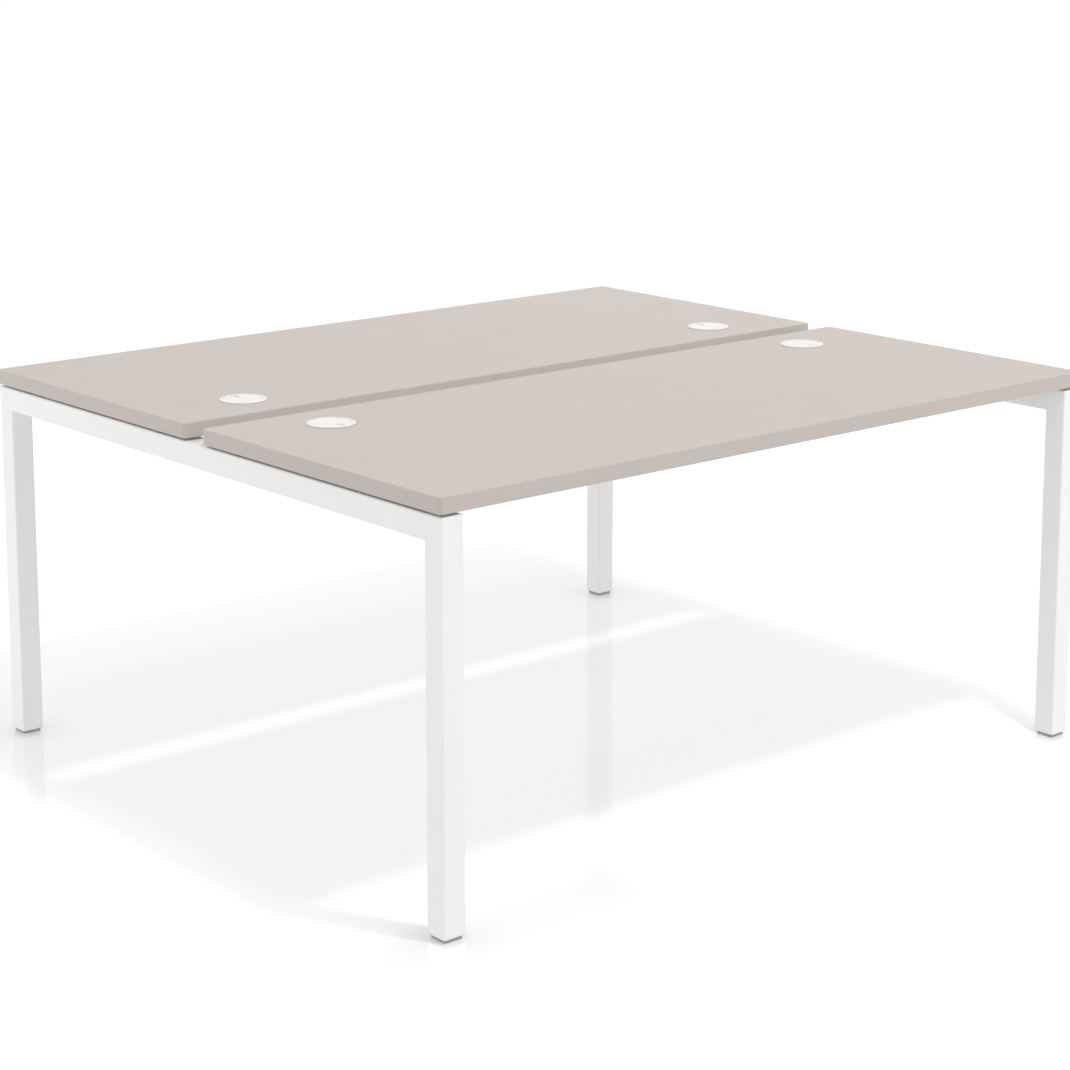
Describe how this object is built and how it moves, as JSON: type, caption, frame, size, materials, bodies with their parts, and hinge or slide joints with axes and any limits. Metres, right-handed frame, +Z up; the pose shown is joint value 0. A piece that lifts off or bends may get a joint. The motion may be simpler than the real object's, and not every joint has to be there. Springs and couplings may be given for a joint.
{
  "type": "benching desk",
  "caption": "Back-to-back benching desk: worktops on a shared square-tube frame, with an open cable gap, turning cable grommets and levelling feet.",
  "frame": {"origin": "on the floor at the centre of the desk", "axes": "+X along the worktops, +Y across the gap from the near worktop to the far one, +Z up"},
  "size_m": [1.6, 1.4, 0.7425],
  "materials": {
    "board": "matt melamine, warm light grey",
    "edge_band": "matt, as the board",
    "frame_paint": "fine powder coat, white",
    "grommet_plastic": "satin white",
    "plug_plastic": "satin white",
    "spacer_plastic": "matt black",
    "foot_plastic": "matt dark grey",
    "zinc_steel": "bright zinc"
  },
  "bodies": {
    "desk": {"near_board": "board", "near_edge_band": "edge_band", "near_beam": "frame_paint", "spacer_near_middle": "spacer_plastic", "top_screw_near_middle": "zinc_steel", "spacer_near_left_inner": "spacer_plastic", "top_screw_near_left_inner": "zinc_steel", "spacer_near_left_outer": "spacer_plastic", "top_screw_near_left_outer": "zinc_steel", "spacer_near_right_inner": "spacer_plastic", "top_screw_near_right_inner": "zinc_steel", "spacer_near_right_outer": "spacer_plastic", "top_screw_near_right_outer": "zinc_steel", "grommet_liner_near_left": "grommet_plastic", "beam_bolt_near_left_inner": "zinc_steel", "beam_bolt_near_left_outer": "zinc_steel", "grommet_liner_near_right": "grommet_plastic", "beam_bolt_near_right_inner": "zinc_steel", "beam_bolt_near_right_outer": "zinc_steel", "far_board": "board", "far_edge_band": "edge_band", "far_beam": "frame_paint", "spacer_far_middle": "spacer_plastic", "top_screw_far_middle": "zinc_steel", "spacer_far_left_inner": "spacer_plastic", "top_screw_far_left_inner": "zinc_steel", "spacer_far_left_outer": "spacer_plastic", "top_screw_far_left_outer": "zinc_steel", "spacer_far_right_inner": "spacer_plastic", "top_screw_far_right_inner": "zinc_steel", "spacer_far_right_outer": "spacer_plastic", "top_screw_far_right_outer": "zinc_steel", "grommet_liner_far_left": "grommet_plastic", "beam_bolt_far_left_inner": "zinc_steel", "beam_bolt_far_left_outer": "zinc_steel", "grommet_liner_far_right": "grommet_plastic", "beam_bolt_far_right_inner": "zinc_steel", "beam_bolt_far_right_outer": "zinc_steel", "left_rail": "frame_paint", "left_near_leg": "frame_paint", "leg_plug_left_near": "plug_plastic", "left_far_leg": "frame_paint", "leg_plug_left_far": "plug_plastic", "right_rail": "frame_paint", "right_near_leg": "frame_paint", "leg_plug_right_near": "plug_plastic", "right_far_leg": "frame_paint", "leg_plug_right_far": "plug_plastic"},
    "foot_left_near": {"foot_pad_left_near": "foot_plastic"},
    "stud_left_near": {"foot_stud_left_near": "zinc_steel"},
    "foot_left_far": {"foot_pad_left_far": "foot_plastic"},
    "stud_left_far": {"foot_stud_left_far": "zinc_steel"},
    "foot_right_near": {"foot_pad_right_near": "foot_plastic"},
    "stud_right_near": {"foot_stud_right_near": "zinc_steel"},
    "foot_right_far": {"foot_pad_right_far": "foot_plastic"},
    "stud_right_far": {"foot_stud_right_far": "zinc_steel"},
    "cap_near_left": {"grommet_cap_near_left": "grommet_plastic"},
    "cap_near_right": {"grommet_cap_near_right": "grommet_plastic"},
    "cap_far_left": {"grommet_cap_far_left": "grommet_plastic"},
    "cap_far_right": {"grommet_cap_far_right": "grommet_plastic"}
  },
  "joints": [
    {"name": "foot_left_near_slide", "type": "slide", "parent": "desk", "child": "foot_left_near", "axis": [0, 0, -1], "range_m": [0, 0.012]},
    {"name": "stud_left_near_turn", "type": "hinge", "parent": "foot_left_near", "child": "stud_left_near", "pos_m": [-0.7735, -0.6755, 0.02], "axis": [0, 0, -1], "range_deg": [0, 3460]},
    {"name": "foot_left_far_slide", "type": "slide", "parent": "desk", "child": "foot_left_far", "axis": [0, 0, -1], "range_m": [0, 0.012]},
    {"name": "stud_left_far_turn", "type": "hinge", "parent": "foot_left_far", "child": "stud_left_far", "pos_m": [-0.7735, 0.6755, 0.02], "axis": [0, 0, -1], "range_deg": [0, 3460]},
    {"name": "foot_right_near_slide", "type": "slide", "parent": "desk", "child": "foot_right_near", "axis": [0, 0, -1], "range_m": [0, 0.012]},
    {"name": "stud_right_near_turn", "type": "hinge", "parent": "foot_right_near", "child": "stud_right_near", "pos_m": [0.7735, -0.6755, 0.02], "axis": [0, 0, -1], "range_deg": [0, 3460]},
    {"name": "foot_right_far_slide", "type": "slide", "parent": "desk", "child": "foot_right_far", "axis": [0, 0, -1], "range_m": [0, 0.012]},
    {"name": "stud_right_far_turn", "type": "hinge", "parent": "foot_right_far", "child": "stud_right_far", "pos_m": [0.7735, 0.6755, 0.02], "axis": [0, 0, -1], "range_deg": [0, 3460]},
    {"name": "cap_near_left_turn", "type": "hinge", "parent": "desk", "child": "cap_near_left", "pos_m": [-0.6, -0.138, 0.7395], "axis": [0, 0, 1], "continuous": true},
    {"name": "cap_near_right_turn", "type": "hinge", "parent": "desk", "child": "cap_near_right", "pos_m": [0.6, -0.138, 0.7395], "axis": [0, 0, 1], "continuous": true},
    {"name": "cap_far_left_turn", "type": "hinge", "parent": "desk", "child": "cap_far_left", "pos_m": [-0.6, 0.138, 0.7395], "axis": [0, 0, 1], "continuous": true},
    {"name": "cap_far_right_turn", "type": "hinge", "parent": "desk", "child": "cap_far_right", "pos_m": [0.6, 0.138, 0.7395], "axis": [0, 0, 1], "continuous": true}
  ],
  "couplings": [
    {"joint": "stud_left_near_turn", "follows": "foot_left_near_slide", "rad_per_m": 5026.5},
    {"joint": "stud_left_far_turn", "follows": "foot_left_far_slide", "rad_per_m": 5026.5},
    {"joint": "stud_right_near_turn", "follows": "foot_right_near_slide", "rad_per_m": 5026.5},
    {"joint": "stud_right_far_turn", "follows": "foot_right_far_slide", "rad_per_m": 5026.5}
  ]
}
